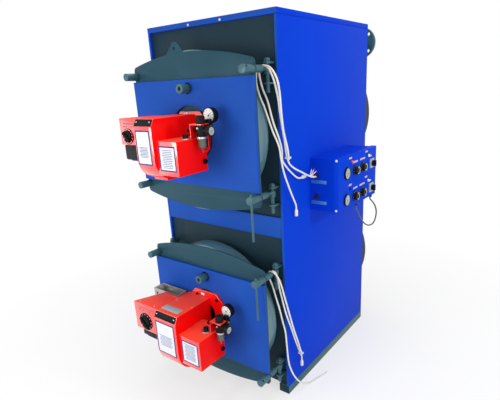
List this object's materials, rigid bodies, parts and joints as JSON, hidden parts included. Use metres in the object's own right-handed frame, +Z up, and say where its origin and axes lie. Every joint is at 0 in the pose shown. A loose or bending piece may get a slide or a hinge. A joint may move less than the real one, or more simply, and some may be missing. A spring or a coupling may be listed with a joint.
{
  "type": "industrial boiler",
  "caption": "Upright hot-water boiler with stacked drums in a blue sheet casing; each drum has a swing door that carries a red oil burner, with a control box on the right side.",
  "frame": {"origin": "middle of the bottom of the bounding box, on the floor", "axes": "+Z up, -Y towards the doors and burners, +X towards the control box side"},
  "size_m": [0.939, 1.3957, 1.8],
  "materials": {
    "blue_paint": "gloss",
    "door_blue_paint": "satin",
    "teal_paint": "satin",
    "dark_paint": "satin",
    "bare_steel": "matte",
    "red_paint": "gloss",
    "black_plastic": "satin",
    "motor_black": "satin",
    "grey_plastic": "satin",
    "lamp_lens": "gloss",
    "red_rubber": "matte",
    "clear_plastic": "gloss",
    "stainless": "brushed",
    "white_cable": "satin",
    "white_plastic": "satin",
    "grey_cable": "satin"
  },
  "bodies": {
    "boiler": {"skids": "dark_paint", "left_panel": "blue_paint", "right_panel": "blue_paint", "rear_panel": "blue_paint", "top_cover": "blue_paint", "front_plate": "dark_paint", "middle_band": "blue_paint", "upper_drum": "bare_steel", "lower_drum": "bare_steel", "rear_ends": "teal_paint", "water_flange": "teal_paint", "hinge_lugs": "teal_paint", "hinge_pins": "teal_paint", "clamp_eyebolts": "teal_paint", "control_box": "blue_paint", "thermometers": "black_plastic", "thermostat_knobs": "black_plastic", "selector_switches": "grey_plastic", "indicator_lamps": "lamp_lens", "cable_grommets": "red_rubber", "cable_glands": "black_plastic", "upper_cable_a": "white_cable", "upper_cable_b": "white_cable", "lower_cable_a": "white_cable", "lower_cable_b": "white_cable", "loop_cable": "grey_cable", "cable_ties": "white_cable", "cable_plugs": "white_plastic"},
    "upper_door": {"upper_door_plate": "teal_paint", "upper_door_drum": "teal_paint", "upper_door_panel": "door_blue_paint", "upper_sight_tube": "teal_paint", "upper_clamps": "teal_paint", "upper_burner_flange": "red_paint", "upper_fan_housing": "red_paint", "upper_burner_box": "red_paint", "upper_burner_fittings": "black_plastic", "upper_motor": "motor_black", "upper_oil_tank": "red_paint", "upper_regulator": "black_plastic", "upper_filter_bowl": "clear_plastic"},
    "lower_door": {"lower_door_plate": "teal_paint", "lower_door_drum": "teal_paint", "lower_door_panel": "door_blue_paint", "lower_sight_tube": "teal_paint", "lower_clamps": "teal_paint", "lower_burner_flange": "red_paint", "lower_fan_housing": "red_paint", "lower_burner_box": "red_paint", "lower_burner_fittings": "black_plastic", "lower_motor": "motor_black", "lower_oil_tank": "red_paint", "lower_regulator": "black_plastic", "lower_filter_bowl": "clear_plastic", "lower_tray": "stainless"}
  },
  "joints": [
    {"name": "upper_door_hinge", "type": "hinge", "parent": "boiler", "child": "upper_door", "pos_m": [-0.4335, -0.3365, 1.319], "axis": [0, 0, -1], "range_deg": [0, 95]},
    {"name": "lower_door_hinge", "type": "hinge", "parent": "boiler", "child": "lower_door", "pos_m": [-0.4335, -0.3365, 0.432], "axis": [0, 0, -1], "range_deg": [0, 95]}
  ]
}
